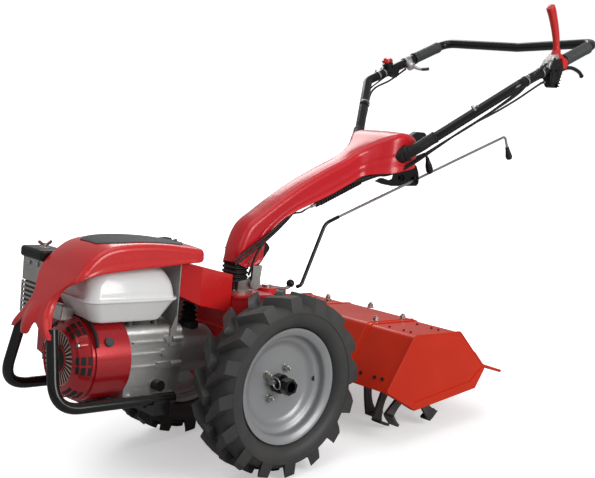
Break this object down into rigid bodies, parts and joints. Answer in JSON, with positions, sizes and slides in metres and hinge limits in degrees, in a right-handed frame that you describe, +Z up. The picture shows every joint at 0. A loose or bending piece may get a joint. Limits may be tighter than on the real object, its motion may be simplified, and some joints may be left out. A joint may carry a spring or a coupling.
{
  "type": "walking tractor",
  "caption": "Two-wheeled walking tractor with a front petrol engine, lugged tyres, tall loop handlebar and a rear rotary tiller under a folded hood.",
  "frame": {"origin": "on the ground below the middle of the machine's box", "axes": "+X forward towards the engine, +Y to the machine's left, +Z up"},
  "size_m": [1.7608, 0.614, 1.1496],
  "materials": {
    "tyre_rubber": "worn",
    "rim_grey": "satin",
    "black_steel": "satin",
    "red_casting": "satin",
    "iron_casting": "satin",
    "grey_casting": "satin",
    "bare_alloy": "rough",
    "black_rubber": "matte",
    "shroud_red": "metallic",
    "tank_silver": "gloss",
    "black_plastic": "satin",
    "red_plastic": "gloss",
    "column_red": "gloss",
    "pad_grey": "textured",
    "zinc_plate": "plated",
    "tiller_red": "gloss",
    "dark_steel": "worn",
    "lever_red": "gloss"
  },
  "bodies": {
    "chassis": {"gearbox_case": "red_casting", "gearbox_top": "red_casting", "axle_housings": "iron_casting", "clutch_housing": "grey_casting", "shift_boot": "black_rubber", "crankcase": "bare_alloy", "cylinder_block": "bare_alloy", "fan_shroud": "shroud_red", "recoil_cover": "shroud_red", "recoil_disc": "black_plastic", "fuel_tank": "tank_silver", "tank_posts": "dark_steel", "muffler": "dark_steel", "air_cleaner_body": "black_plastic", "air_cleaner_lid": "black_plastic", "oil_cap": "black_plastic", "guard_left": "black_steel", "guard_right": "black_steel", "engine_base": "black_steel", "hood": "red_plastic", "hood_pad": "pad_grey", "rear_box": "red_plastic", "hood_bracket": "grey_casting", "shift_lever": "zinc_plate", "drive_case": "iron_casting", "pto_housing": "iron_casting", "tiller_centre": "tiller_red", "tiller_side_left": "tiller_red", "tiller_side_right": "tiller_red", "flap_pin": "dark_steel"},
    "wheel_left": {"tyre_left": "tyre_rubber", "rim_left": "rim_grey", "hub_left": "black_steel"},
    "wheel_right": {"tyre_right": "tyre_rubber", "rim_right": "rim_grey", "hub_right": "black_steel"},
    "rotor": {"rotor_shaft": "dark_steel", "tines": "dark_steel"},
    "flap": {"flap": "tiller_red"},
    "turret": {"turret": "zinc_plate"},
    "column": {"column_cover": "column_red", "column_foot": "zinc_plate", "handlebar": "black_steel", "bar_collars": "black_rubber", "grip_left": "black_rubber", "grip_right": "black_rubber", "gate_plate": "black_steel", "gear_rod": "zinc_plate", "tool_rod": "zinc_plate", "gear_knob": "black_plastic", "tool_knob": "black_plastic", "safety_lever": "lever_red", "lever_bracket": "black_plastic", "clutch_lever": "black_steel", "stop_switch": "lever_red", "throttle_lever": "zinc_plate", "conduit": "black_rubber", "release_paddle": "black_plastic", "head_lever": "black_plastic"}
  },
  "joints": [
    {"name": "wheel_left_spin", "type": "hinge", "parent": "chassis", "child": "wheel_left", "pos_m": [0.314, 0.205, 0.2275], "axis": [0, 1, 0], "continuous": true},
    {"name": "wheel_right_spin", "type": "hinge", "parent": "chassis", "child": "wheel_right", "pos_m": [0.314, -0.205, 0.2275], "axis": [0, 1, 0], "continuous": true},
    {"name": "rotor_spin", "type": "hinge", "parent": "chassis", "child": "rotor", "pos_m": [-0.14303, 0, 0.13411], "axis": [0, 1, 0], "continuous": true},
    {"name": "flap_hinge", "type": "hinge", "parent": "chassis", "child": "flap", "pos_m": [-0.31076, 0, 0.22837], "axis": [0, 1, 0], "range_deg": [0, 70]},
    {"name": "bar_swivel", "type": "hinge", "parent": "chassis", "child": "turret", "pos_m": [0.28068, 0, 0.41685], "axis": [-0.1219, 0, 0.9925], "range_deg": [-25, 25]},
    {"name": "bar_height", "type": "hinge", "parent": "turret", "child": "column", "pos_m": [0.24797, 0, 0.43701], "axis": [0, 1, 0], "range_deg": [-8, 12]}
  ]
}
